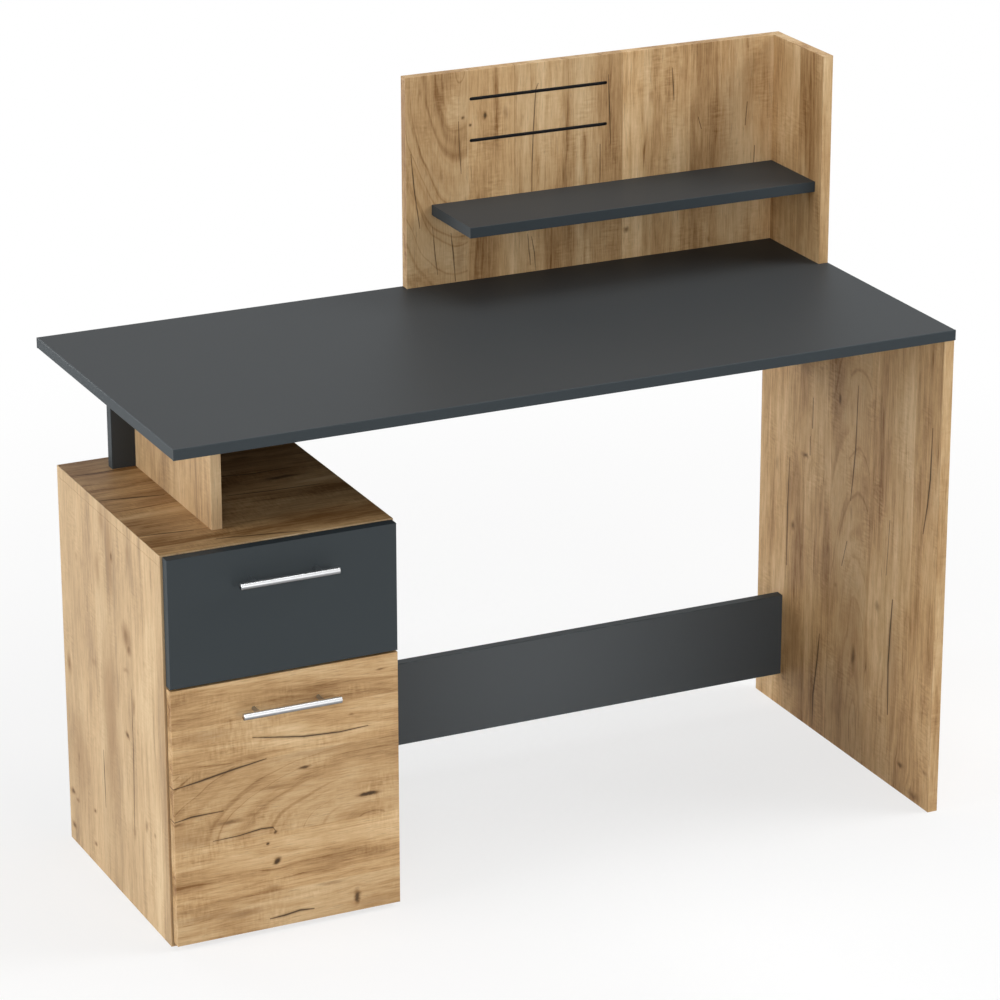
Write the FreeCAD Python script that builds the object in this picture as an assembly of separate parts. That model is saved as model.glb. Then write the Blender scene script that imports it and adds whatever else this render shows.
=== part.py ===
import FreeCAD, Part
import math
import os

# Computer desk with a pedestal cabinet and a hutch, built from 16 mm boards.
# Millimetres. X runs along the desk to the right, Y to the back, Z up.
# The origin is on the floor, at the centre of the desktop's footprint.

os.makedirs("parts", exist_ok=True)

V = FreeCAD.Vector
EAST = V(1, 0, 0)
WEST = V(-1, 0, 0)
NORTH = V(0, 1, 0)
SOUTH = V(0, -1, 0)
UP = V(0, 0, 1)
DOWN = V(0, 0, -1)

# Desktop and boards
desk_width = 1200.0
desk_depth = 538.0
desk_height = 755.0
board_thickness = 16.0
tape_thickness = 1.0
tape_edge_radius = 0.6
desktop_tape_thickness = 2.0
desktop_edge_radius = 1.4
overrun = 2.0
seat_clearance = 0.05

# Leg panel
leg_front_inset = 3.0

# Cabinet carcass
cabinet_inset = 1.0
cabinet_width = 344.0
cabinet_setback = 67.0
cabinet_depth = 407.0
post_height = 157.0
bottom_lift_height = 10.0
sheet_thickness = 3.0
sheet_setback = 14.0
sheet_groove_depth = 6.0
sheet_clearance = 0.1
divider_back_gap = 2.0

# Fronts of the drawer and the door
front_gap = 2.0
front_inset = 3.0
front_top_gap = 1.0
drawer_front_height = 188.0
front_reveal_gap = 3.0
door_lift_height = 7.0

# Shelf behind the door
shelf_side_gap = 1.0
shelf_setback = 25.0
shelf_back_gap = 4.0
shelf_pin_radius = 2.5
shelf_pin_length = 9.0
shelf_pin_depth = 9.0
shelf_pin_front_inset = 40.0
shelf_pin_back_inset = 60.0

# Upright post on the cabinet
post_inset = 100.6
post_setback = 63.0

# Rails
upper_rail_inset = 65.0
upper_rail_setback = 36.0
lower_rail_lift_height = 55.0
lower_rail_height = 133.0

# Hutch
hutch_inset = 1.0
hutch_width = 627.0
hutch_height = 320.0
hutch_side_depth = 152.0
hutch_shelf_length = 570.0
hutch_shelf_depth = 135.0
hutch_shelf_height = 124.0
groove_inset = 103.0
groove_length = 226.0
groove_width = 5.0
groove_depth = 8.0
groove_top_inset = 43.0
groove_pitch = 63.0
groove_count = 2

# Drawer box
drawer_board_thickness = 12.0
drawer_depth = 350.0
drawer_side_height = 125.0
drawer_back_gap = 10.0
drawer_sheet_lift_height = 8.0
drawer_groove_depth = 5.0

# Roller runners, sizes across the gap between cabinet side and drawer side
runner_gap = 12.5
runner_length = 350.0
runner_setback = 2.0
runner_lift_height = 4.0
runner_thickness = 1.2
runner_height = 22.6
runner_track_width = 11.0
runner_lip_width = 4.5
flange_gap = 2.2
flange_height = 20.0
flange_foot_width = 12.0
member_gap = 1.0
roller_radius = 8.5
roller_width = 6.4
roller_edge_radius = 0.5
roller_gap = 0.3
roller_inset = 12.0
axle_radius = 2.0
axle_head_radius = 3.2
axle_head_thickness = 0.6
axle_shoulder_gap = 0.3

# Concealed door hinges
hinge_end_inset = 92.0
cup_radius = 17.5
cup_depth = 12.0
cup_wall_thickness = 0.8
cup_edge_inset = 2.5
cup_flange_thickness = 1.0
cup_flange_length = 58.0
cup_flange_width = 27.0
cup_screw_pitch = 48.0
hinge_pin_inset = 5.7
hinge_pin_depth = 11.0
hinge_pin_radius = 1.1
hinge_pin_length = 10.2
hinge_pin_clearance = 0.02
hinge_bore_clearance = 0.06
knuckle_radius = 1.8
knuckle_width = 7.0
hinge_lug_thickness = 1.5
hinge_lug_gap = 0.2
arm_thickness = 1.2
arm_offset_height = 3.5
arm_width = 13.0
arm_lip_depth = 2.4
plate_setback = 12.0
plate_length = 56.0
plate_wing_length = 12.0
plate_wing_width = 48.0
plate_wing_thickness = 1.6
plate_screw_inset = 37.0
plate_screw_pitch = 32.0

# Bar handles
handle_inset = 45.0
handle_length = 146.0
handle_radius = 5.0
handle_edge_radius = 0.6
handle_standoff_depth = 24.0
handle_pitch = 96.0
post_radius = 3.0
handle_screw_radius = 2.0
handle_screw_depth = 9.0
handle_screw_head_radius = 4.0
handle_screw_head_height = 2.4
handle_hole_gap = 0.4

# Bumpers behind the fronts
bumper_radius = 4.0
bumper_thickness = 1.7
bumper_inset = 8.0
bumper_end_inset = 20.0

# Cam fittings: a cam in one board, a bolt in the other
cam_radius = 7.5
cam_depth = 12.5
cam_floor_gap = 0.2
cam_inset = 24.0
cam_slot_width = 1.4
cam_slot_length = 9.0
cam_slot_depth = 1.5
bolt_thread_radius = 2.5
bolt_thread_length = 11.0
bolt_shaft_radius = 3.0
bolt_neck_radius = 1.6
bolt_neck_length = 4.0
bolt_head_radius = 3.0
bolt_head_height = 3.0
bolt_hole_gap = 0.5
tip_gap = 1.0

# Dowels
dowel_radius = 4.0
dowel_length = 30.0
dowel_chamfer_depth = 1.0
dowel_face_depth = 10.0

# One-piece connecting screws
screw_head_radius = 5.0
screw_head_height = 4.0
screw_shank_radius = 3.5
screw_thread_radius = 2.5
screw_length = 48.0
drawer_screw_length = 38.0
drawer_cam_depth = 9.6
socket_radius = 2.0
socket_depth = 2.2

# Small flat-head screws
small_head_radius = 3.4
small_head_height = 1.2
small_shank_radius = 1.6
small_screw_length = 13.0

# Places of the fixings along their boards
cabinet_fix_front_inset = 60.0
cabinet_fix_back_inset = 70.0
cabinet_dowel_spacing = 32.0
leg_fix_front_inset = 120.0
leg_fix_back_inset = 100.0
leg_dowel_front_inset = 170.0
leg_dowel_back_inset = 210.0
rail_fix_edge_inset = 35.0
rail_fix_end_inset = 150.0
post_fix_front_inset = 60.0
post_fix_back_inset = 60.0
post_screw_front_inset = 88.0
post_screw_back_inset = 88.0
hutch_fix_end_inset = 60.0
hutch_side_fix_inset = 30.0
hutch_top_fix_inset = 60.0
shelf_fix_end_inset = 70.0
shelf_dowel_inset = 35.0
drawer_fix_edge_inset = 32.0
runner_screw_front_inset = 37.0
runner_screw_back_inset = 60.0
member_screw_front_inset = 50.0
member_screw_back_inset = 60.0
member_screw_inset = 4.0

# Derived places of the large boards
left = -desk_width / 2
right = desk_width / 2
front = -desk_depth / 2
back = desk_depth / 2
under_top = desk_height - board_thickness
leg_inner = right - board_thickness

cab_left = left + cabinet_inset
cab_right = cab_left + cabinet_width
cab_mid = (cab_left + cab_right) / 2
cab_front = front + cabinet_setback
cab_back = cab_front + cabinet_depth
cab_top = under_top - post_height
cab_under = cab_top - board_thickness
cab_inner_left = cab_left + board_thickness
cab_inner_right = cab_right - board_thickness
cab_floor = bottom_lift_height + board_thickness
sheet_back = cab_back - sheet_setback
sheet_front = sheet_back - sheet_thickness

fronts_left = cab_left + front_inset
fronts_right = cab_right - front_inset
fronts_back = cab_front - front_gap
fronts_face = fronts_back - board_thickness
drawer_front_top = cab_top - front_top_gap
drawer_front_bottom = drawer_front_top - drawer_front_height
door_top = drawer_front_bottom - front_reveal_gap
divider_bottom = door_top + (front_reveal_gap - board_thickness) / 2
divider_top = divider_bottom + board_thickness
shelf_bottom = (cab_floor + divider_bottom - board_thickness) / 2

rail_back = cab_back - upper_rail_setback
rail_front = rail_back - board_thickness
post_left = cab_left + post_inset
post_mid = post_left + board_thickness / 2
post_front = cab_front + post_setback

hutch_right = right - hutch_inset
hutch_left = hutch_right - hutch_width
hutch_back = back - hutch_inset
hutch_face = hutch_back - board_thickness
hutch_top = desk_height + hutch_height
hutch_side_inner = hutch_right - board_thickness
hutch_side_front = hutch_face - hutch_side_depth
hutch_shelf_top = desk_height + hutch_shelf_height
hutch_shelf_front = hutch_face - hutch_shelf_depth
hutch_shelf_left = hutch_side_inner - hutch_shelf_length

runner_base = divider_top + runner_lift_height
box_left = cab_inner_left + runner_gap
box_right = cab_inner_right - runner_gap
box_bottom = runner_base + runner_thickness
box_top = box_bottom + drawer_side_height
box_back = fronts_back + drawer_depth
drawer_sheet_bottom = box_bottom + drawer_sheet_lift_height
drawer_sheet_top = drawer_sheet_bottom + sheet_thickness

pin_x = fronts_left + hinge_pin_inset
pin_y = fronts_back + front_gap - hinge_pin_depth
cup_x = fronts_left + cup_edge_inset + cup_radius
hinge_heights = (door_lift_height + hinge_end_inset, door_top - hinge_end_inset)

pieces = {}
cutters = {}


def add(node, *shapes):
    """Put solids into a node."""
    pieces.setdefault(node, []).extend(shapes)


def cut(node, *shapes):
    """Remember shapes that are taken out of a node before it is written."""
    cutters.setdefault(node, []).extend(shapes)


def box(x0, x1, y0, y1, z0, z1):
    """Return a block between two corners."""
    return Part.makeBox(x1 - x0, y1 - y0, z1 - z0, V(x0, y0, z0))


def rod(radius, length, start, direction):
    """Return a plain cylinder from a start point along a direction."""
    return Part.makeCylinder(radius, length, start, direction)


def turned(profile, start, direction):
    """Revolve a list of (radius, height) points about a direction."""
    points = [V(radius, 0, height) for radius, height in profile]
    points.append(points[0])
    solid = Part.Face(Part.makePolygon(points)).revolve(V(0, 0, 0), UP, 360)
    solid.Placement = FreeCAD.Placement(start, FreeCAD.Rotation(UP, direction))
    return solid


def mirrored(shape):
    """Return the shape's mirror image about the cabinet's middle plane."""
    return shape.mirror(V(cab_mid, 0, 0), EAST)


def rounded_strip(strip, side, radius):
    """Round the two long outer edges of an edging strip."""
    bounds = strip.BoundBox
    planes = {
        "-x": ("x", bounds.XMin), "+x": ("x", bounds.XMax),
        "-y": ("y", bounds.YMin), "+y": ("y", bounds.YMax),
        "-z": ("z", bounds.ZMin), "+z": ("z", bounds.ZMax),
    }
    axis, level = planes[side]
    outer = [edge for edge in strip.Edges
             if all(abs(getattr(corner.Point, axis) - level) < seat_clearance for corner in edge.Vertexes)]
    longest = max(edge.Length for edge in outer)
    return strip.makeFillet(radius, [edge for edge in outer if edge.Length > longest - seat_clearance])


def edged_panel(node, edging, limits, sides, thickness=tape_thickness, radius=tape_edge_radius):
    """Add a board whose named sides carry glued edging strips."""
    x0, x1, y0, y1, z0, z1 = limits
    for side in sides:
        strip = {
            "-x": (x0, x0 + thickness, y0, y1, z0, z1), "+x": (x1 - thickness, x1, y0, y1, z0, z1),
            "-y": (x0, x1, y0, y0 + thickness, z0, z1), "+y": (x0, x1, y1 - thickness, y1, z0, z1),
            "-z": (x0, x1, y0, y1, z0, z0 + thickness), "+z": (x0, x1, y0, y1, z1 - thickness, z1),
        }[side]
        add(edging, rounded_strip(box(*strip), side, radius))
        x0 += thickness * (side == "-x")
        x1 -= thickness * (side == "+x")
        y0 += thickness * (side == "-y")
        y1 -= thickness * (side == "+y")
        z0 += thickness * (side == "-z")
        z1 -= thickness * (side == "+z")
    add(node, box(x0, x1, y0, y1, z0, z1))


def cam_fitting(cam_board, bolt_board, joint, into, face,
                nodes=("cam_locks", "cam_bolts"), thickness=board_thickness, depth=cam_depth):
    """Join two boards: a cam in cam_board grips a bolt that is driven into bolt_board.

    joint is on the contact plane, into points into cam_board, face points to the face that takes the cam.
    """
    centre = joint + into * cam_inset
    surface = centre + face * (thickness / 2)
    head_end = cam_inset + bolt_head_height / 2
    neck_end = head_end - bolt_head_height
    shaft_end = neck_end - bolt_neck_length
    bolt = turned([
        (0, -bolt_thread_length), (bolt_thread_radius, -bolt_thread_length), (bolt_thread_radius, 0),
        (bolt_shaft_radius, 0), (bolt_shaft_radius, shaft_end), (bolt_neck_radius, shaft_end),
        (bolt_neck_radius, neck_end), (bolt_head_radius, neck_end), (bolt_head_radius, head_end),
        (0, head_end),
    ], joint, into)
    hole_radius = bolt_head_radius + bolt_hole_gap
    mouth = rod(hole_radius, cam_radius + bolt_head_height, centre - into * cam_radius, into)
    slot = Part.makeBox(cam_slot_length, cam_slot_width, cam_slot_depth)
    slot.translate(V(-cam_slot_length / 2, -cam_slot_width / 2, -cam_slot_depth))
    turn = FreeCAD.Rotation(into, into.cross(face), face, "ZXY")
    slot.Placement = FreeCAD.Placement(surface, turn) * slot.Placement
    cam = rod(cam_radius, depth, surface, face * -1)
    add(nodes[0], cam.cut([mouth, slot]))
    add(nodes[1], bolt)
    pocket_depth = overrun + depth + cam_floor_gap
    cut(cam_board, rod(cam_radius + seat_clearance, pocket_depth, surface + face * overrun, face * -1))
    cut(cam_board, rod(hole_radius, cam_inset, joint, into))
    cut(bolt_board, rod(bolt_thread_radius + seat_clearance, bolt_thread_length + tip_gap, joint, into * -1))


def dowel(end_board, face_board, joint, into):
    """Add a wooden dowel: most of it in the end of one board, the rest in the face of the other."""
    tip_radius = dowel_radius - dowel_chamfer_depth
    add("dowels", turned([
        (0, 0), (tip_radius, 0), (dowel_radius, dowel_chamfer_depth),
        (dowel_radius, dowel_length - dowel_chamfer_depth), (tip_radius, dowel_length), (0, dowel_length),
    ], joint - into * dowel_face_depth, into))
    hole_radius = dowel_radius + seat_clearance
    cut(end_board, rod(hole_radius, dowel_length - dowel_face_depth + tip_gap, joint, into))
    cut(face_board, rod(hole_radius, dowel_face_depth + tip_gap, joint, into * -1))


def connecting_screw(outer_board, inner_nodes, start, into,
                     node="connecting_screws", first=board_thickness, length=screw_length):
    """Add a one-piece connecting screw through outer_board into the edge of the board behind it."""
    screw = turned([
        (0, 0), (screw_head_radius, 0), (screw_shank_radius, screw_head_height), (screw_shank_radius, first),
        (screw_thread_radius, first), (screw_thread_radius, length), (0, length),
    ], start, into)
    socket = rod(socket_radius, socket_depth, start, into)
    add(node, screw.cut(socket))
    head_hole = screw_head_radius + seat_clearance
    shank_hole = screw_shank_radius + seat_clearance
    cut(outer_board, turned([
        (0, -overrun), (head_hole, -overrun), (head_hole, 0), (shank_hole, screw_head_height),
        (shank_hole, first + overrun), (0, first + overrun),
    ], start, into))
    pilot = rod(screw_thread_radius + seat_clearance, length - first + tip_gap, start + into * first, into)
    for inner_node in inner_nodes:
        cut(inner_node, pilot)


def flat_screw(node, held, holder, start, into):
    """Add a small flat-head screw whose head is flush with the face at start."""
    add(node, turned([
        (0, 0), (small_head_radius, 0), (small_shank_radius, small_head_height),
        (small_shank_radius, small_screw_length), (0, small_screw_length),
    ], start, into))
    head_hole = small_head_radius + seat_clearance
    shank_hole = small_shank_radius + seat_clearance
    hole_end = small_screw_length + tip_gap
    hole = turned([
        (0, -overrun), (head_hole, -overrun), (head_hole, 0), (shank_hole, small_head_height),
        (shank_hole, hole_end), (0, hole_end),
    ], start, into)
    cut(held, hole)
    cut(holder, hole)


def desktop_and_leg():
    """Desktop board with its edging, and the leg panel under its right end."""
    edged_panel("desktop", "desktop_edging", (left, right, front, back, under_top, desk_height),
                ("-y", "+y", "-x", "+x"), desktop_tape_thickness, desktop_edge_radius)
    edged_panel("right_leg_panel", "leg_edging",
                (leg_inner, right, front + leg_front_inset, back, 0, under_top), ("-y", "+y"))
    leg_mid = right - board_thickness / 2
    for y in (front + leg_fix_front_inset, back - leg_fix_back_inset):
        cam_fitting("right_leg_panel", "desktop", V(leg_mid, y, under_top), DOWN, WEST)
    for y in (front + leg_dowel_front_inset, back - leg_dowel_back_inset):
        dowel("right_leg_panel", "desktop", V(leg_mid, y, under_top), DOWN)


def cabinet_carcass():
    """Two sides, top, bottom and divider of the cabinet, with a hardboard sheet in grooves."""
    sides = {
        "cabinet_left_side": (cab_left, cab_inner_left, cab_inner_left, EAST),
        "cabinet_right_side": (cab_inner_right, cab_right, cab_inner_right, WEST),
    }
    groove_reach = sheet_groove_depth + sheet_clearance
    for node, (x0, x1, inner, inward) in sides.items():
        edged_panel(node, "cabinet_edging", (x0, x1, cab_front, cab_back, 0, cab_under), ("-y",))
        groove_x = sorted((inner - inward.x * groove_reach, inner))
        cut(node, box(*groove_x, sheet_front - sheet_clearance, sheet_back + sheet_clearance,
                      cab_floor - groove_reach, cab_under))
    edged_panel("cabinet_top", "cabinet_edging",
                (cab_left, cab_right, cab_front, cab_back, cab_under, cab_top), ("-x", "+x", "-y"))
    edged_panel("cabinet_bottom", "cabinet_edging",
                (cab_inner_left, cab_inner_right, cab_front, cab_back, bottom_lift_height, cab_floor),
                ("-y",))
    edged_panel("cabinet_divider", "cabinet_edging",
                (cab_inner_left, cab_inner_right, cab_front, sheet_front - divider_back_gap,
                 divider_bottom, divider_top), ("-y",))
    add("cabinet_back", box(cab_inner_left - sheet_groove_depth, cab_inner_right + sheet_groove_depth,
                            sheet_front, sheet_back,
                            cab_floor - sheet_groove_depth, cab_under + sheet_groove_depth))
    groove_zone = (cab_inner_left - groove_reach, cab_inner_right + groove_reach,
                   sheet_front - sheet_clearance, sheet_back + sheet_clearance)
    cut("cabinet_bottom", box(*groove_zone, cab_floor - groove_reach, cab_floor + overrun))
    cut("cabinet_top", box(*groove_zone, cab_under - overrun, cab_under + groove_reach))
    cabinet_fixings(sides)


def cabinet_fixings(sides):
    """Cams and dowels between the sides and the boards that they carry."""
    places = (cab_front + cabinet_fix_front_inset, cab_back - cabinet_fix_back_inset)
    steps = (cabinet_dowel_spacing, -cabinet_dowel_spacing)
    for node, (x0, x1, inner, inward) in sides.items():
        side_mid = (x0 + x1) / 2
        for y, step in zip(places, steps):
            cam_fitting(node, "cabinet_top", V(side_mid, y, cab_under), DOWN, inward)
            dowel(node, "cabinet_top", V(side_mid, y + step, cab_under), DOWN)
            joint = V(inner, y, bottom_lift_height + board_thickness / 2)
            cam_fitting("cabinet_bottom", node, joint, inward, DOWN)
            dowel("cabinet_bottom", node, joint + NORTH * step, inward)
            joint = V(inner, y, divider_bottom + board_thickness / 2)
            cam_fitting("cabinet_divider", node, joint, inward, DOWN)


def door_space_shelf():
    """Loose shelf behind the door, on four pins."""
    shelf_limits = (cab_inner_left + shelf_side_gap, cab_inner_right - shelf_side_gap,
                    cab_front + shelf_setback, sheet_front - shelf_back_gap,
                    shelf_bottom, shelf_bottom + board_thickness)
    edged_panel("cabinet_shelf", "cabinet_edging", shelf_limits, ("-y",))
    pin_z = shelf_bottom - shelf_pin_radius
    hole_radius = shelf_pin_radius + seat_clearance
    for y in (cab_front + shelf_setback + shelf_pin_front_inset, sheet_front - shelf_pin_back_inset):
        for node, x, inward in (("cabinet_left_side", cab_inner_left, EAST),
                                ("cabinet_right_side", cab_inner_right, WEST)):
            face = V(x, y, pin_z)
            start = face - inward * shelf_pin_depth
            add("shelf_pins", rod(shelf_pin_radius, shelf_pin_depth + shelf_pin_length, start, inward))
            cut(node, rod(hole_radius, shelf_pin_depth + tip_gap, face, inward * -1))


def post_and_rails():
    """Upright post and upper rail that carry the desktop's left end, and the lower rail."""
    edged_panel("support_post", "cabinet_edging",
                (post_left, post_left + board_thickness, post_front, rail_front, cab_top, under_top),
                ("-y",))
    rail_left = cab_left + upper_rail_inset
    edged_panel("upper_rail", "rail_edging",
                (rail_left, leg_inner, rail_front, rail_back, cab_top, under_top), ("-x", "-z"))
    rail_bottom = lower_rail_lift_height
    rail_top = rail_bottom + lower_rail_height
    edged_panel("lower_rail", "rail_edging",
                (cab_right, leg_inner, cab_back - board_thickness, cab_back, rail_bottom, rail_top),
                ("-z", "+z"))
    for y in (post_front + post_fix_front_inset, rail_front - post_fix_back_inset):
        cam_fitting("support_post", "desktop", V(post_mid, y, under_top), DOWN, EAST)
    for y in (post_front + post_screw_front_inset, rail_front - post_screw_back_inset):
        connecting_screw("cabinet_top", ("support_post",), V(post_mid, y, cab_under), UP)
    rail_mid = rail_front + board_thickness / 2
    rail_height_mid = (cab_top + under_top) / 2
    connecting_screw("upper_rail", ("support_post",), V(post_mid, rail_back, rail_height_mid), SOUTH)
    connecting_screw("cabinet_top", ("upper_rail", "rail_edging"),
                     V((post_mid + cab_right) / 2, rail_mid, cab_under), UP)
    for x in (cab_right - rail_fix_end_inset, leg_inner - rail_fix_end_inset):
        cam_fitting("upper_rail", "desktop", V(x, rail_mid, under_top), DOWN, NORTH)
    for z in (cab_top + rail_fix_edge_inset, under_top - rail_fix_edge_inset):
        cam_fitting("upper_rail", "right_leg_panel", V(leg_inner, rail_mid, z), WEST, NORTH)
    low_mid = cab_back - board_thickness / 2
    for z in (rail_bottom + rail_fix_edge_inset, rail_top - rail_fix_edge_inset):
        cam_fitting("lower_rail", "right_leg_panel", V(leg_inner, low_mid, z), WEST, NORTH)
        cam_fitting("lower_rail", "cabinet_right_side", V(cab_right, low_mid, z), EAST, NORTH)


def hutch():
    """Hutch on the desktop: back panel with two grooves, side panel and shelf."""
    edged_panel("hutch_back_panel", "hutch_edging",
                (hutch_left, hutch_right, hutch_face, hutch_back, desk_height, hutch_top),
                ("-x", "+x", "+z"))
    edged_panel("hutch_side_panel", "hutch_edging",
                (hutch_side_inner, hutch_right, hutch_side_front, hutch_face, desk_height, hutch_top),
                ("-y", "+z"))
    edged_panel("hutch_shelf", "hutch_shelf_edging",
                (hutch_shelf_left, hutch_side_inner, hutch_shelf_front, hutch_face,
                 hutch_shelf_top - board_thickness, hutch_shelf_top),
                ("-y", "-x"))
    for row in range(groove_count):
        cut("hutch_back_panel", hutch_groove(hutch_top - groove_top_inset - row * groove_pitch))
    hutch_fixings()


def hutch_groove(z):
    """Round-ended slot that is milled along the hutch's back panel at one height."""
    end_radius = groove_width / 2
    x0 = hutch_left + groove_inset + end_radius
    x1 = x0 + groove_length - groove_width
    start = hutch_face - overrun
    channel = box(x0, x1, start, hutch_face + groove_depth, z - end_radius, z + end_radius)
    return channel.fuse([rod(end_radius, overrun + groove_depth, V(x, start, z), NORTH) for x in (x0, x1)])


def hutch_fixings():
    """Screws up through the desktop and in from the back, and a dowel in the shelf's end."""
    back_mid = hutch_face + board_thickness / 2
    side_mid = hutch_side_inner + board_thickness / 2
    for x in (hutch_left + hutch_fix_end_inset, (hutch_left + hutch_side_inner) / 2):
        connecting_screw("desktop", ("hutch_back_panel",), V(x, back_mid, under_top), UP)
    for y in (hutch_side_front + hutch_side_fix_inset, hutch_face - hutch_side_fix_inset):
        connecting_screw("desktop", ("hutch_side_panel",), V(side_mid, y, under_top), UP)
    for z in (desk_height + hutch_top_fix_inset, hutch_top - hutch_top_fix_inset):
        connecting_screw("hutch_back_panel", ("hutch_side_panel",), V(side_mid, hutch_back, z), SOUTH)
    shelf_mid = hutch_shelf_top - board_thickness / 2
    for x in (hutch_shelf_left + shelf_fix_end_inset, hutch_side_inner - shelf_fix_end_inset):
        connecting_screw("hutch_back_panel", ("hutch_shelf",), V(x, hutch_back, shelf_mid), SOUTH)
    dowel_y = hutch_shelf_front + shelf_dowel_inset
    dowel("hutch_shelf", "hutch_side_panel", V(hutch_side_inner, dowel_y, shelf_mid), WEST)


def handle(prefix, panel, top):
    """Bar handle on two posts, held by screws from behind the panel."""
    z = top - handle_inset
    bar_y = fronts_face - handle_standoff_depth
    centre = (fronts_left + fronts_right) / 2
    half = handle_length / 2
    end_radius = handle_radius - handle_edge_radius
    bar = turned([
        (0, 0), (end_radius, 0), (handle_radius, handle_edge_radius),
        (handle_radius, handle_length - handle_edge_radius), (end_radius, handle_length),
        (0, handle_length),
    ], V(centre - half, bar_y, z), EAST)
    add(prefix + "_handle_bar", bar)
    for x in (centre - handle_pitch / 2, centre + handle_pitch / 2):
        foot = V(x, fronts_face, z)
        post = rod(post_radius, handle_standoff_depth, foot, SOUTH).cut(bar)
        thread_hole = rod(handle_screw_radius + seat_clearance, handle_screw_depth + tip_gap, foot, SOUTH)
        add(prefix + "_handle_posts", max(post.cut(thread_hole).Solids, key=lambda solid: solid.Volume))
        shank_length = board_thickness + handle_screw_depth
        add(prefix + "_handle_screws", turned([
            (0, -handle_screw_head_height), (handle_screw_head_radius, -handle_screw_head_height),
            (handle_screw_head_radius, 0), (handle_screw_radius, 0), (handle_screw_radius, shank_length),
            (0, shank_length),
        ], V(x, fronts_back, z), SOUTH))
        cut(panel, rod(handle_screw_radius + handle_hole_gap, board_thickness, V(x, fronts_back, z), SOUTH))


def drawer():
    """Drawer front, box of 12 mm boards and a hardboard bottom in grooves."""
    edged_panel("drawer_front", "drawer_front_edging",
                (fronts_left, fronts_right, fronts_face, fronts_back,
                 drawer_front_bottom, drawer_front_top),
                ("-x", "+x", "-z", "+z"))
    handle("drawer", "drawer_front", drawer_front_top)
    inner_left = box_left + drawer_board_thickness
    inner_right = box_right - drawer_board_thickness
    add("drawer_side_left", box(box_left, inner_left, fronts_back, box_back, box_bottom, box_top))
    add("drawer_side_right", box(inner_right, box_right, fronts_back, box_back, box_bottom, box_top))
    add("drawer_back", box(inner_left, inner_right, box_back - drawer_board_thickness, box_back,
                           drawer_sheet_top, box_top - drawer_back_gap))
    sheet_reach = drawer_groove_depth
    groove_reach = drawer_groove_depth + sheet_clearance
    add("drawer_bottom", box(inner_left - sheet_reach, inner_right + sheet_reach, fronts_back - sheet_reach,
                             box_back, drawer_sheet_bottom, drawer_sheet_top))
    groove = box(inner_left - groove_reach, inner_right + groove_reach, fronts_back - groove_reach,
                 box_back + overrun, drawer_sheet_bottom - sheet_clearance, drawer_sheet_top)
    for node in ("drawer_side_left", "drawer_side_right", "drawer_front"):
        cut(node, groove)
    drawer_fixings()


def drawer_fixings():
    """Screws from the drawer's sides into its back, and cams that draw the sides to the front."""
    nodes = ("drawer_cam_fittings", "drawer_cam_fittings")
    mid_height = (box_bottom + box_top) / 2
    back_y = box_back - drawer_board_thickness / 2
    heights = (drawer_sheet_top + drawer_fix_edge_inset,
               box_top - drawer_back_gap - drawer_fix_edge_inset / 2)
    sides = (("drawer_side_left", box_left, EAST), ("drawer_side_right", box_right, WEST))
    for node, outer, inward in sides:
        for z in heights:
            connecting_screw(node, ("drawer_back",), V(outer, back_y, z), inward,
                             "drawer_screws", drawer_board_thickness, drawer_screw_length)
        joint = V(outer, fronts_back, mid_height) + inward * (drawer_board_thickness / 2)
        cam_fitting(node, "drawer_front", joint, NORTH, inward,
                    nodes, drawer_board_thickness, drawer_cam_depth)


def roller_profile():
    """Half section of a nylon roller: crowned rim and a plain bore."""
    bore = axle_radius + seat_clearance
    flank = roller_radius - roller_edge_radius
    return [(bore, 0), (flank, 0), (roller_radius, roller_edge_radius),
            (roller_radius, roller_width - roller_edge_radius), (flank, roller_width), (bore, roller_width)]


def axle(start, direction):
    """Riveted axle with a shoulder at its foot and a head outside the roller."""
    head_start = (runner_gap - runner_thickness - runner_thickness + roller_width) / 2 + axle_shoulder_gap
    shoulder = head_start - roller_width - axle_shoulder_gap - axle_shoulder_gap
    head_end = head_start + axle_head_thickness
    return turned([
        (0, 0), (axle_head_radius, 0), (axle_head_radius, shoulder), (axle_radius, shoulder),
        (axle_radius, head_start), (axle_head_radius, head_start), (axle_head_radius, head_end),
        (0, head_end),
    ], start, direction)


def swept_profile(points, y0, y1):
    """Extrude a section in X and Z along Y."""
    corners = [V(x, y0, z) for x, z in points]
    corners.append(corners[0])
    return Part.Face(Part.makePolygon(corners)).extrude(V(0, y1 - y0, 0))


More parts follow.
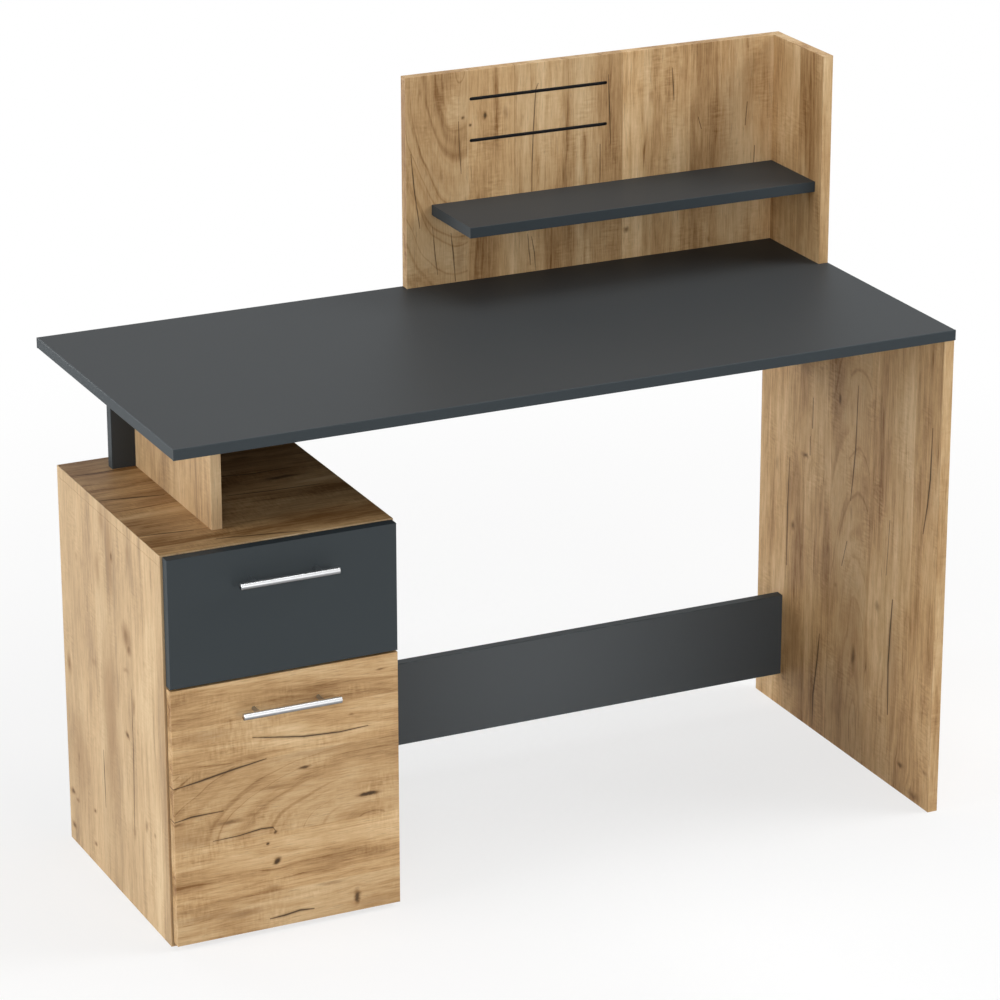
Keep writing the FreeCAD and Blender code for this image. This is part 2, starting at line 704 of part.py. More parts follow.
def runners():
    """Roller runners: a cabinet member and a drawer member on each side, with one roller each."""
    u = cab_inner_left
    w = runner_base
    metal = runner_thickness
    member_face = u + runner_gap - metal
    box_face = u + runner_gap
    foot_end = box_face + flange_foot_width
    track_top = w + flange_height
    track_end = u + runner_track_width
    lip_end = u + runner_lip_width
    lip_top = w + runner_height
    cabinet_section = [(u, w), (track_end, w), (track_end, w + metal), (u + metal, w + metal),
                       (u + metal, lip_top - metal), (lip_end, lip_top - metal), (lip_end, lip_top),
                       (u, lip_top)]
    drawer_section = [(u + flange_gap, track_top - metal), (member_face, track_top - metal),
                      (member_face, w), (foot_end, w), (foot_end, w + metal), (box_face, w + metal),
                      (box_face, track_top), (u + flange_gap, track_top)]
    cabinet_start = cab_front + runner_setback
    member_start = fronts_back + member_gap
    member_end = member_start + runner_length - member_gap - member_gap
    axle_z = w + metal + roller_gap + roller_radius
    shoulder = (runner_gap - metal - metal - roller_width) / 2
    front_axle_y = cabinet_start + roller_inset
    rear_axle_y = member_end - roller_inset
    fixed = swept_profile(cabinet_section, cabinet_start, cabinet_start + runner_length)
    fixed = fixed.fuse(axle(V(u + metal, front_axle_y, axle_z), EAST)).removeSplitter()
    moving = swept_profile(drawer_section, member_start, member_end)
    moving = moving.fuse(axle(V(member_face, rear_axle_y, axle_z), WEST)).removeSplitter()
    roller_x = u + metal + shoulder
    front_roller = turned(roller_profile(), V(roller_x, front_axle_y, axle_z), EAST)
    rear_roller = turned(roller_profile(), V(roller_x, rear_axle_y, axle_z), EAST)
    for side, place in (("left", lambda shape: shape), ("right", mirrored)):
        add("cabinet_runner_" + side, place(fixed))
        add("drawer_runner_" + side, place(moving))
        add("cabinet_roller_" + side, place(front_roller))
        add("drawer_roller_" + side, place(rear_roller))
    screw_z = w + (runner_height + metal) / 2
    for y in (cab_front + runner_screw_front_inset, cabinet_start + runner_length - runner_screw_back_inset):
        flat_screw("runner_screws", "cabinet_runner_left", "cabinet_left_side",
                   V(u + metal, y, screw_z), WEST)
        flat_screw("runner_screws", "cabinet_runner_right", "cabinet_right_side",
                   V(cab_inner_right - metal, y, screw_z), EAST)
    for y in (member_start + member_screw_front_inset, member_end - member_screw_back_inset):
        flat_screw("drawer_runner_screws", "drawer_runner_left", "drawer_side_left",
                   V(box_left + member_screw_inset, y, w), UP)
        flat_screw("drawer_runner_screws", "drawer_runner_right", "drawer_side_right",
                   V(box_right - member_screw_inset, y, w), UP)


def door():
    """Door board with its handle and two concealed hinges."""
    edged_panel("door_panel", "door_edging",
                (fronts_left, fronts_right, fronts_face, fronts_back, door_lift_height, door_top),
                ("-x", "+x", "-z", "+z"))
    handle("door", "door_panel", door_top)
    for z in hinge_heights:
        hinge(z)


def hinge_cup(z):
    """Steel cup with a flange on the door's back and two lugs that hold the pin."""
    bottom = fronts_back - cup_depth
    floor = bottom + cup_wall_thickness
    bore = cup_radius - cup_wall_thickness
    body = rod(cup_radius, cup_depth, V(cup_x, bottom, z), NORTH)
    cup_edge = cup_x - cup_radius
    flange = box(cup_edge, cup_edge + cup_flange_width, fronts_back, fronts_back + cup_flange_thickness,
                 z - cup_flange_length / 2, z + cup_flange_length / 2)
    cavity = rod(bore, cup_depth + overrun, V(cup_x, floor, z), NORTH)
    lug_start = knuckle_width / 2 + hinge_lug_gap
    lug_half = knuckle_radius + seat_clearance
    lugs = []
    for low in (z + lug_start, z - lug_start - hinge_lug_thickness):
        lug = box(pin_x - lug_half, pin_x + lug_half, floor, pin_y + lug_half,
                  low, low + hinge_lug_thickness)
        lugs.append(lug.common(body))
    shell = body.fuse(flange).cut(cavity)
    pin_hole = rod(hinge_pin_radius + hinge_bore_clearance, hinge_pin_length + overrun,
                   V(pin_x, pin_y, z - (hinge_pin_length + overrun) / 2), UP)
    return shell.fuse(lugs).cut(pin_hole)


def hinge_arm(z):
    """Bent steel arm from the pin, round the side panel's edge, to the mounting plate."""
    run = cab_inner_left + arm_offset_height
    half = arm_thickness / 2
    narrow = knuckle_width / 2
    neck_end = cab_front + plate_setback / 2
    end = cab_front + plate_setback + plate_length
    outside = run + arm_thickness
    neck = swept_outline([
        (pin_x, pin_y - half), (outside, pin_y - half), (outside, neck_end), (run, neck_end),
        (run, pin_y + half), (pin_x, pin_y + half),
    ], z - narrow, z + narrow)
    knuckle = rod(knuckle_radius, knuckle_width, V(pin_x, pin_y, z - narrow), UP)
    channel = box(run, outside, neck_end, end, z - arm_width / 2, z + arm_width / 2)
    sides = [box(run - arm_lip_depth, run, neck_end, end, low, low + arm_thickness)
             for low in (z + arm_width / 2 - arm_thickness, z - arm_width / 2)]
    arm = neck.fuse([knuckle, channel] + sides).removeSplitter()
    bore = hinge_pin_radius + hinge_pin_clearance
    return arm.cut(rod(bore, knuckle_width, V(pin_x, pin_y, z - narrow), UP))


def swept_outline(points, z0, z1):
    """Extrude an outline in X and Y up Z."""
    corners = [V(x, y, z0) for x, y in points]
    corners.append(corners[0])
    return Part.Face(Part.makePolygon(corners)).extrude(V(0, 0, z1 - z0))


def hinge(z):
    """One concealed hinge: cup, arm, pin, mounting plate and their screws."""
    cup = hinge_cup(z)
    add("hinge_cups", cup)
    cut("door_panel", rod(cup_radius + seat_clearance, cup_depth + seat_clearance + overrun,
                          V(cup_x, fronts_back + overrun, z), SOUTH))
    add("hinge_arms", hinge_arm(z))
    pin_foot = V(pin_x, pin_y, z - hinge_pin_length / 2)
    add("hinge_pins", rod(hinge_pin_radius, hinge_pin_length, pin_foot, UP))
    body_top = cab_inner_left + arm_offset_height
    start = cab_front + plate_setback
    core_half = arm_width / 2 - arm_thickness - seat_clearance
    screw_y = cab_front + plate_screw_inset
    core = box(cab_inner_left, body_top, start, start + plate_length, z - core_half, z + core_half)
    wing = box(cab_inner_left, cab_inner_left + plate_wing_thickness, screw_y - plate_wing_length / 2,
               screw_y + plate_wing_length / 2, z - plate_wing_width / 2, z + plate_wing_width / 2)
    lip_zone = (body_top - arm_lip_depth - seat_clearance, body_top, start, start + plate_length)
    lips = [box(*lip_zone, z + core_half, z + arm_width / 2 + seat_clearance),
            box(*lip_zone, z - arm_width / 2 - seat_clearance, z - core_half)]
    add("hinge_plates", core.fuse(wing.cut(lips)).removeSplitter())
    for side in (-plate_screw_pitch / 2, plate_screw_pitch / 2):
        flat_screw("hinge_screws", "hinge_plates", "cabinet_left_side",
                   V(cab_inner_left + plate_wing_thickness, screw_y, z + side), WEST)
    for side in (-cup_screw_pitch / 2, cup_screw_pitch / 2):
        flat_screw("hinge_cup_screws", "hinge_cups", "door_panel",
                   V(cup_x, fronts_back + cup_flange_thickness, z + side), SOUTH)


def bumpers():
    """Soft bumpers on the carcass that the closed fronts rest against."""
    left_x = cab_left + bumper_inset
    right_x = cab_right - bumper_inset
    drawer_low = drawer_front_bottom + bumper_end_inset
    drawer_high = cab_under - bumper_end_inset
    places = [
        (right_x, door_lift_height + bumper_end_inset), (right_x, door_top - bumper_end_inset),
        (left_x, drawer_low), (right_x, drawer_low), (left_x, drawer_high), (right_x, drawer_high),
    ]
    for x, z in places:
        add("front_bumpers", rod(bumper_radius, bumper_thickness, V(x, cab_front, z), SOUTH))


def write_pieces():
    """Cut the holes and write one STEP file for each node."""
    total = 0
    for node, solids in pieces.items():
        finished = []
        for solid in solids:
            near = [c for c in cutters.get(node, []) if c.BoundBox.intersect(solid.BoundBox)]
            shape = solid.cut(near) if near else solid
            finished.extend(shape.Solids)
        shape = finished[0] if len(finished) == 1 else Part.makeCompound(finished)
        valid = all(solid.isValid() and solid.Volume > 0 for solid in finished)
        if not valid:
            raise ValueError("bad solid in " + node)
        shape.exportStep("parts/" + node + ".step")
        total += len(finished)
        print(node, len(finished))
    print(len(pieces), "nodes,", total, "solids")


desktop_and_leg()
cabinet_carcass()
door_space_shelf()
post_and_rails()
hutch()
drawer()
runners()
door()
bumpers()
write_pieces()
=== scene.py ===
# Looks, lights and camera of the computer desk, laid out as a Blender add-on
import math
import random
from collections import namedtuple

import bmesh
import bpy
from bpy.props import FloatProperty, FloatVectorProperty, PointerProperty
from mathutils import Matrix, Vector


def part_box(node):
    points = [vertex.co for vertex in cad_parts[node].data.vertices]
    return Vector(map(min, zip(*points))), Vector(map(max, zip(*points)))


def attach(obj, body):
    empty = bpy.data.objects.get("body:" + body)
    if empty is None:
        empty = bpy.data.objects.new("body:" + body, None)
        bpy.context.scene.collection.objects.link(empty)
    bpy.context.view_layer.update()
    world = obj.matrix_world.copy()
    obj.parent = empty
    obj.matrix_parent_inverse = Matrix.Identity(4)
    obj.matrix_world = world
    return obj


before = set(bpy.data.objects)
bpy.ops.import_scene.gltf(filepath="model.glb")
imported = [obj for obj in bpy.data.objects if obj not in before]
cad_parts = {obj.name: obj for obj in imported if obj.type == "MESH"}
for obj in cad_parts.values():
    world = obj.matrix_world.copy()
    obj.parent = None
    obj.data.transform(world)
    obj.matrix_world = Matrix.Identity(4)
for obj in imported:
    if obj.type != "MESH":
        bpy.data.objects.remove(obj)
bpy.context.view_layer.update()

bl_info = {
    "name": "Computer Desk",
    "version": (1, 0, 0),
    "blender": (4, 5, 0),
    "location": "View3D > Sidebar > Desk",
    "description": "Finishes a computer desk with drawer, door and hutch, and lights it",
    "category": "Object",
}

MM = 0.001
X, Y, Z = 0, 1, 2


# Shader building
def feed(tree, place, value):
    """Links a value to a socket, or sets the socket to a number or a colour."""
    if isinstance(value, Value):
        tree.links.new(value.socket, place)
    else:
        place.default_value = value


def math_node(tree, operation, *values):
    node = tree.nodes.new("ShaderNodeMath")
    node.operation = operation
    for place, value in zip(node.inputs, values):
        feed(tree, place, value)
    return Value(tree, node.outputs[0])


class Value:
    """One shader socket that takes part in plain arithmetic."""

    def __init__(self, tree, socket):
        self.tree = tree
        self.socket = socket

    def math(self, operation, *others):
        return math_node(self.tree, operation, self, *others)

    def __add__(self, other):
        return self.math("ADD", other)

    def __radd__(self, other):
        return math_node(self.tree, "ADD", other, self)

    def __sub__(self, other):
        return self.math("SUBTRACT", other)

    def __rsub__(self, other):
        return math_node(self.tree, "SUBTRACT", other, self)

    def __mul__(self, other):
        return self.math("MULTIPLY", other)

    def __rmul__(self, other):
        return math_node(self.tree, "MULTIPLY", other, self)

    def __truediv__(self, other):
        return self.math("DIVIDE", other)

    def __abs__(self):
        return self.math("ABSOLUTE")

    def __lt__(self, other):
        return self.math("LESS_THAN", other)

    def __gt__(self, other):
        return self.math("GREATER_THAN", other)

    def least(self, other):
        return self.math("MINIMUM", other)

    def most(self, other):
        return self.math("MAXIMUM", other)


class Nodes:
    """An emptied node tree and the ways to fill it."""

    def __init__(self, tree):
        self.tree = tree
        tree.nodes.clear()

    def node(self, kind, settings=None, sockets=None, output=0):
        """Adds a node: its settings come first, then the values or links of its sockets."""
        node = self.tree.nodes.new(kind)
        for key, value in (settings or {}).items():
            if key == "stops":
                self.set_stops(node.color_ramp, value)
            elif key == "interpolation":
                node.color_ramp.interpolation = value
            else:
                setattr(node, key, value)
        for key, value in (sockets or {}).items():
            feed(self.tree, node.inputs[key], value)
        return Value(self.tree, node.outputs[output])

    def set_stops(self, ramp, stops):
        while len(ramp.elements) < len(stops):
            ramp.elements.new(1.0)
        for element, (position, colour) in zip(ramp.elements, stops):
            element.position = position
            element.color = colour

    def seen(self):
        """1 for rays that show a thing itself, a mirror image of it or what is behind glass."""
        rays = self.node("ShaderNodeLightPath")
        outputs = rays.socket.node.outputs
        camera, glossy, through = (
            Value(self.tree, outputs[name])
            for name in ("Is Camera Ray", "Is Glossy Ray", "Is Transmission Ray"))
        return camera.most(glossy).most(through)


class Finish(Nodes):
    """One material and the nodes that make it."""

    def __init__(self, name):
        self.material = bpy.data.materials.new(name)
        self.material.use_nodes = True
        super().__init__(self.material.node_tree)
        self.output = self.tree.nodes.new("ShaderNodeOutputMaterial")
        self._place = None

    def place(self):
        """The three Object coordinates, in metres of the part's frame."""
        if self._place is None:
            coordinates = self.node("ShaderNodeTexCoord", output="Object")
            split = self.node("ShaderNodeSeparateXYZ", sockets={0: coordinates})
            outputs = split.socket.node.outputs
            self._place = [Value(self.tree, socket) for socket in outputs]
        return self._place

    def vector(self, x, y, z):
        return self.node("ShaderNodeCombineXYZ", sockets={0: x, 1: y, 2: z})

    def noise(self, vector, detail, roughness=0.5, distortion=0.0, output=0):
        return self.node("ShaderNodeTexNoise", {"noise_dimensions": "3D"}, {
            "Vector": vector, "Scale": 1.0, "Detail": detail, "Roughness": roughness,
            "Distortion": distortion,
        }, output)

    def grit(self, waves, detail):
        """Noise alike in all directions, in waves per metre."""
        x, y, z = self.place()
        return self.noise(self.vector(x * waves, y * waves, z * waves), detail)

    def span(self, value, low, high, first=0.0, last=1.0, smooth=True):
        """Carries value from low..high to first..last, held at the ends."""
        kind = "SMOOTHSTEP" if smooth else "LINEAR"
        return self.node("ShaderNodeMapRange", {"interpolation_type": kind, "clamp": True}, {
            "Value": value, "From Min": low, "From Max": high, "To Min": first, "To Max": last,
        })

    def ramp(self, value, stops, interpolation="LINEAR", output=0):
        return self.node("ShaderNodeValToRGB", {"stops": stops, "interpolation": interpolation},
                         {"Fac": value}, output)

    def mix(self, share, first, second, blend="MIX"):
        """Mixes two colours through the Mix node's colour sockets."""
        return self.node("ShaderNodeMix", {"data_type": "RGBA", "blend_type": blend},
                         {0: share, 6: first, 7: second}, output=2)

    def tone(self, colour, amount):
        """Makes a colour lighter or darker by a factor that may vary."""
        return self.mix(1.0, colour, self.vector(amount, amount, amount), "MULTIPLY")

    def bump(self, height, strength, distance):
        return self.node("ShaderNodeBump", sockets={
            "Height": height, "Strength": strength, "Distance": distance})

    def surface(self, **sockets):
        """Ends the material in one Principled BSDF; underscores stand for spaces."""
        named = {key.replace("_", " "): value for key, value in sockets.items()}
        shader = self.node("ShaderNodeBsdfPrincipled", sockets=named)
        self.tree.links.new(shader.socket, self.output.inputs["Surface"])
        return self.material


def srgb(red, green, blue):
    """A colour given as it looks on a screen, 0 to 255, as Blender's linear values."""
    shares = [c / 255 for c in (red, green, blue)]
    linear = [c / 12.92 if c <= 0.04045 else ((c + 0.055) / 1.055) ** 2.4 for c in shares]
    return (*linear, 1.0)


def dress(material, *nodes):
    """Gives every material slot of these CAD nodes the material."""
    for name in nodes:
        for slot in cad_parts[name].material_slots:
            slot.material = material


# Settings that a user would change
def colour_setting(name, description, *levels):
    return FloatVectorProperty(name=name, description=description, default=srgb(*levels),
                               size=4, min=0.0, max=1.0, subtype="COLOR")


def share_setting(name, description, default):
    return FloatProperty(name=name, description=description, default=default, min=0.0, max=1.0,
                         subtype="FACTOR")


def length_setting(name, description, default):
    return FloatProperty(name=name, description=description, default=default, min=0.0,
                         subtype="DISTANCE", unit="LENGTH")


def power_setting(name, description, default):
    return FloatProperty(name=name, description=description, default=default, min=0.0, unit="POWER")


class OakSettings(bpy.types.PropertyGroup):
    """The oak foil on the boards."""
    pale: colour_setting("Pale wood", "Lightest bands of the oak foil", 222, 192, 148)
    middle: colour_setting("Middle wood", "Main colour of the oak foil", 191, 154, 107)
    brown: colour_setting("Brown streaks", "Darkest grain of the oak foil", 130, 90, 46)
    crack: colour_setting("Crack", "Colour inside the printed cracks and knots", 44, 31, 20)
    # This pale colour is painted sheen: it whitens the faces that the left lamp lights most
    painted_sheen_colour: colour_setting("Bleached wood", "Colour that the palest boards tend to", 208, 190, 158)
    roughness: share_setting("Roughness", "Roughness of the oak foil", 0.55)
    sheen: share_setting("Sheen", "Strength of the oak foil's reflections", 0.3)
    relief: length_setting("Relief", "Depth of the pressed grain", 0.0002)


class DarkSettings(bpy.types.PropertyGroup):
    """The anthracite foil on the boards."""
    # The boards' colour is partly painted light: it is set lighter than the front's to lift the rails and
    # the desktop in the shade under the top and the shelf
    board: colour_setting("Anthracite board", "Colour of the dark boards", 61, 64, 66)
    front: colour_setting("Anthracite front", "Colour of the drawer's front", 55, 61, 64)
    edge: colour_setting("Anthracite edge", "Colour of the dark edge bands", 49, 56, 60)
    roughness: share_setting("Roughness", "Roughness of the dark foil", 0.5)
    board_sheen: share_setting("Board sheen", "Strength of the reflections on the boards", 0.08)
    front_sheen: share_setting("Front sheen", "Strength of the reflections on the front", 0.15)
    edge_sheen: share_setting("Edge sheen", "Strength of the reflections on the edge bands", 0.2)


class MetalSettings(bpy.types.PropertyGroup):
    """The handles and the fittings."""
    bright: colour_setting("Handle steel", "Colour of the brushed handle bars", 214, 215, 216)
    # The underside colour is painted shade: the lower half of each bar is darkened in its colour, not by
    # the light
    shaded: colour_setting("Handle underside", "Colour of the bars' shaded underside", 144, 145, 147)
    zinc: colour_setting("Zinc", "Colour of the zinc plated screws and cams", 176, 180, 184)
    nickel: colour_setting("Nickel", "Colour of the hinges", 196, 192, 186)
    painted: colour_setting("Runner paint", "Colour of the painted runners", 226, 226, 224)
    roughness: share_setting("Roughness", "Roughness of the handle bars", 0.28)


class StageSettings(bpy.types.PropertyGroup):
    """The floor, the sky and the lamps."""
    floor: colour_setting("Floor", "Colour of the floor", 248, 248, 248)
    floor_size: length_setting("Floor size", "Side of the square floor", 40.0)
    sky: share_setting("Sky", "Strength of the even light from all sides", 0.08)
    top: power_setting("Top lamp", "Power of the lamp overhead", 76.0)
    left: power_setting("Left lamp", "Power of the low lamp on the left", 104.0)
    right: power_setting("Right lamp", "Power of the lamp on the right", 110.0)
    front: power_setting("Front lamp", "Power of the small low lamp in front", 54.0)
    corner: power_setting("Corner lamp", "Power of the lamp at the front left corner", 36.0)
    back: power_setting("Back lamp", "Power of the low lamp behind", 52.0)
    knee: power_setting("Knee lamp", "Power of the lamp on the floor that shines under the top", 0.85)


class DeskSettings(bpy.types.PropertyGroup):
    """All the settings of the desk."""
    oak: PointerProperty(type=OakSettings, name="Oak", description="Oak foil")
    dark: PointerProperty(type=DarkSettings, name="Anthracite", description="Dark foil")
    metal: PointerProperty(type=MetalSettings, name="Metal", description="Handles and fittings")
    stage: PointerProperty(type=StageSettings, name="Stage", description="Floor and lamps")


# Oak
# Cracks run as (place along the grain, place across it) points in millimetres, then a half width
DOOR_CRACKS = [
    ([(-478, 301.5), (-440, 295), (-401, 289), (-348, 286), (-304, 287.5)], 1.1),
    ([(-597, 245), (-555.5, 251), (-501, 260), (-457.7, 266)], 1.4),
    ([(-597, 195.4), (-570, 199.5), (-523, 199.6)], 1.1),
    ([(-540, 157), (-500, 158), (-468, 161.6), (-450, 160.5), (-445.8, 153)], 1.0),
    ([(-458, 21.4), (-436, 22.4), (-412, 25.4), (-390, 23.7)], 1.3),
]
HUTCH_CRACKS = [
    ([(960, -20), (906, -15), (845, -6.5)], 0.8),
    ([(1000.5, 57), (960, 58.5), (920, 61)], 0.7),
    ([(1044, 187), (1035, 183), (972, 179), (930, 177.5), (879, 176.6)], 0.6),
    ([(1044, 303), (994, 305), (937, 307.5)], 0.8),
    ([(939, 290), (877, 290)], 0.6),
    ([(832, 44), (796, 48), (756, 51)], 0.7),
    ([(845, 14), (800, 18), (770, 22)], 0.5),
    ([(1043, 410), (1015, 412), (992, 413.5)], 0.8),
    ([(976, 539), (939, 536)], 0.7),
    ([(815, 170), (790, 172), (765, 175)], 0.5),
    ([(810, 176), (785, 181), (756, 183)], 0.5),
    ([(962, 455), (942, 461)], 0.6),
    ([(906, 553), (878, 552)], 0.6),
]
LEG_CRACKS = [
    ([(540, 107), (490, 107.5)], 1.0),
    ([(476, 113), (445, 113)], 0.9),
    ([(600, -27), (500, -24), (455, -19), (412, -13)], 1.2),
    ([(600, -242), (520, -240), (480, -235), (430, -225)], 1.5),
    ([(422, 175.5), (339, 179), (242, 178)], 1.3),
    ([(166, 70), (120, 75), (60, 85), (5, 86)], 1.7),
    ([(299, -145), (250, -141), (190, -138), (110, -141)], 1.9),
    ([(420, -130), (330, -124)], 0.7),
    ([(345, -6), (300, 8)], 0.8),
]
SIDE_CRACKS = [
    ([(340, -74), (250, -74), (180, -71), (115, -68)], 1.0),
    ([(200, 51), (170, 50), (110, 49)], 1.1),
    ([(420, 98), (395, 98)], 0.5),
]
TOP_CRACKS = [
    ([(-597, 150), (-560, 147), (-515, 150)], 1.8),
    ([(-597, 38), (-550, 30), (-505, 22)], 1.8),
    ([(-597, -118), (-560, -122), (-520, -128)], 1.3),
    ([(-505, -172), (-440, -184), (-380, -196)], 1.4),
    ([(-420, 60), (-360, 50), (-300, 52)], 1.2),
    ([(-430, -20), (-370, -26), (-290, -30)], 1.2),
]

# Spots are knots and brown clouds, and on the leg also painted shade: middle along and across the grain,
# half length, half width, darkness
DOOR_SPOTS = [
    (-306, 184, 17, 4, 1.0), (-446, 108, 6, 6, 0.95), (-459, 138, 3, 3, 0.8), (-447, 154, 3, 3, 0.8),
    (-455, 68, 14, 7, 0.4), (-402, 242, 10, 3, 0.75), (-285, 368, 9, 2, 0.6), (-328, 310, 5, 2, 0.6),
    (-450, 367, 14, 4, 0.35), (-325, 28, 5, 13, 0.8), (-520, 181, 30, 4, 0.6), (-482, 186, 12, 3, 0.5),
    (-550, 43, 55, 6, 0.4), (-500, 38, 34, 6, 0.5), (-366, 58, 24, 3, 0.45), (-560, 316, 60, 9, 0.35),
    (-448, 221, 26, 4, 0.5), (-300, 18, 45, 9, 0.3), (-575, 165, 40, 16, 0.3), (-590, 190, 10, 3, 0.6),
    (-380, 262, 90, 6, 0.3),
]
HUTCH_SPOTS = [
    (1005, 99, 6, 4, 0.85), (1003, 134, 12, 5, 0.45), (992, 76, 3, 3, 0.7), (1003, 64, 3, 3, 0.7),
    (1050, -6, 7, 3, 0.5), (1035, 427, 12, 6, 0.35), (1005, 374, 10, 5, 0.35), (922, 29, 14, 3, 0.45),
    (980, 400, 14, 4, 0.3), (800, 334, 5, 6, 0.55), (765, 475, 6, 3, 0.5), (790, 58, 30, 8, 0.35),
    (930, 500, 80, 28, 0.25), (900, 10, 60, 20, 0.25), (1000, 320, 60, 6, 0.3),
]
# On the leg the clouds round (118, 148) and (130, 150) next to the lower rail and the broad one at (210,
# -25) are painted shadow of the rail, the rest are knots and clouds of the print
LEG_SPOTS_AND_PAINTED_SHADE = [
    (440, 128, 4, 12, 0.7), (314, 160, 7, 6, 0.6), (315, 52, 9, 5, 0.55), (562, 26, 14, 6, 0.75),
    (262, 26, 4, 6, 0.4), (165, -34, 26, 9, 0.7), (163, -72, 13, 3, 0.6), (272, -102, 9, 9, 0.45),
    (130, 150, 60, 16, 0.4), (45, -182, 5, 10, 0.7), (10, -222, 8, 17, 0.65), (60, -252, 4, 8, 0.5),
    (400, 215, 13, 6, 0.4), (325, 120, 4, 22, 0.25), (95, -118, 7, 5, 0.4), (560, 24, 90, 24, 0.3),
    (210, -25, 120, 42, 0.3), (395, -16, 14, 4, 0.45), (200, -150, 80, 26, 0.3), (340, -212, 130, 8, 0.3),
    (118, 148, 26, 9, 0.35), (330, 62, 160, 8, 0.25),
]
SIDE_SPOTS = [
    (515, -10, 11, 6, 0.72), (560, 28, 26, 9, 0.45), (478, 50, 32, 9, 0.4), (541, -75, 16, 6, 0.4),
    (412, -60, 20, 20, 0.55), (398, -68, 9, 10, 0.6), (362, -55, 4, 13, 0.45), (316, -80, 13, 6, 0.5),
    (262, -52, 5, 8, 0.72), (283, 184, 18, 10, 0.6), (80, 189, 6, 12, 0.7), (73, 170, 4, 8, 0.6),
    (25, 188, 6, 12, 0.7), (86, 97, 4, 6, 0.6), (33, 97, 4, 6, 0.6), (148, 157, 13, 4, 0.6),
    (325, 78, 6, 14, 0.35), (465, 138, 7, 5, 0.4), (150, -118, 11, 6, 0.5), (147, -150, 5, 4, 0.55),
    (250, 15, 150, 32, 0.42), (150, 150, 90, 44, 0.34), (250, -200, 260, 12, 0.35),
    (120, -68, 14, 5, 0.45), (520, 0, 80, 14, 0.42),
]
TOP_SPOTS = [
    (-560, 120, 40, 30, 0.35), (-520, 20, 30, 30, 0.3), (-360, 90, 90, 30, 0.4), (-330, 20, 40, 8, 0.7),
    (-350, 118, 24, 8, 0.6), (-580, -60, 30, 10, 0.3),
]

# Planks printed side by side: where each starts across the grain in millimetres, then its tone
DOOR_PLANKS = [(0, 0.95), (62, 1.03), (151, 0.95), (266, 1.02), (330, 1.0)]
HUTCH_PLANKS = [(-30, 0.97), (71, 1.06), (145, 1.0), (225, 0.92), (300, 0.95), (325, 1.1), (360, 1.0),
                (440, 0.93), (505, 0.9), (548, 0.97)]
LEG_PLANKS = [(-270, 1.1), (-195, 1.06), (-112, 1.1), (-68, 1.03), (-5, 1.02), (46, 1.07), (95, 1.09),
              (183, 1.16)]
LEG_EDGE_PLANKS = [(-280, 0.91), (0, 0.95)]
TOP_PLANKS = [(-205, 1.15), (-120, 1.08), (-30, 1.12), (70, 1.1), (140, 1.12)]
SIDE_PLANKS = [(-205, 0.97), (-178, 1.02), (-88, 0.99), (-30, 0.96), (62, 1.03), (128, 0.98)]

# Arches: heart along and across the grain, stretch, the band that they fill, in millimetres, and contrast
DOOR_FIGURE = (-300, 146, 2.2, 151, 264, 0.6)
HUTCH_FIGURE = (1078, 56, 2.6, -28, 71, 0.6)
LEG_FIGURE = (60, -35, 5.0, -68, 44, 0.45)


# Noise drawn out along the grain: waves per metre along and across it, then the noise's own settings
Waves = namedtuple("Waves", "along across detail roughness distortion", defaults=(0.5, 0.0))
WANDER = Waves(2.2, 6.0, 2.0)
FIELD = Waves(1.4, 14.0, 3.0, 0.6)
STREAK = Waves(4.6, 74.0, 4.0, 0.66, 0.6)
VEIN = Waves(1.6, 52.0, 1.0)
FIBRE = Waves(26.0, 520.0, 3.0, 0.7)
PORE = Waves(44.0, 760.0, 2.0, 0.6)
RIPPLE = Waves(260.0, 60.0, 2.0)
FLECK = Waves(11.0, 20.0, 2.0)
CLOUD = Waves(6.0, 15.0, 5.0, 0.62)
FRAY = Waves(24.0, 48.0, 4.0, 0.62)
SWIRL = Waves(7.0, 15.0, 2.0)

# How far the noises push the grain aside and fray the marks, in metres
WANDER_REACH = 0.03
SWIRL_REACH = 0.03
FRAY_REACH = (0.018, 0.011, 0.0)
CRACK_RAGGED = 0.0016

# How strongly each noise colours the wood, whose level is 0 for brown and 1 for pale
FIELD_SHARE, STREAK_SHARE, FIBRE_SHARE, CLOUD_SHARE = 1.3, 1.0, 0.8, 1.25
RIPPLE_SHARE, FLECKED_SHARE = 0.08, 0.6
MIDDLE_LEVEL = 0.52
VEIN_WIDTH, VEIN_DARKNESS, DASH_DARKNESS, PORE_DARKNESS = 0.03, 0.1, 0.3, 0.22
ARCH_LINES = 2.5

# How much of a mark's colour covers the wood: the brown round a spot or a crack, and the dark core
CLOUDY_SHARE, HALO_SHARE, CORE_SHARE = 0.75, 0.45, 0.85

# Spots darker than this are knots, and the grain gives way to them
KNOT_DARKNESS = 0.6

# A crack's width: its share where the crack begins and ends, that of a short one, and the soft rim's
CRACK_TIP, SHORT_CRACK, CRACK_RIM = 0.12, 0.6, 1.6
CRACK_MARGIN = 10.0

# Planks: the reach of their shifts along the grain, the last one's width in metres, and the shift step
PLANK_SHIFT, LAST_PLANK, SHIFT_STEP = 2.0, 0.1, 0.618

Spot = namedtuple("Spot", "along across half_length half_width darkness")
Figure = namedtuple("Figure", "along across stretch low high contrast")


def random_planks(seed):
    """Planks for a board that the photograph doesn't show."""
    chance = random.Random(seed)
    start, end = -620.0, 620.0
    planks = []
    while start < end:
        planks.append((start, chance.uniform(0.94, 1.05)))
        start += chance.uniform(60.0, 130.0)
    return planks


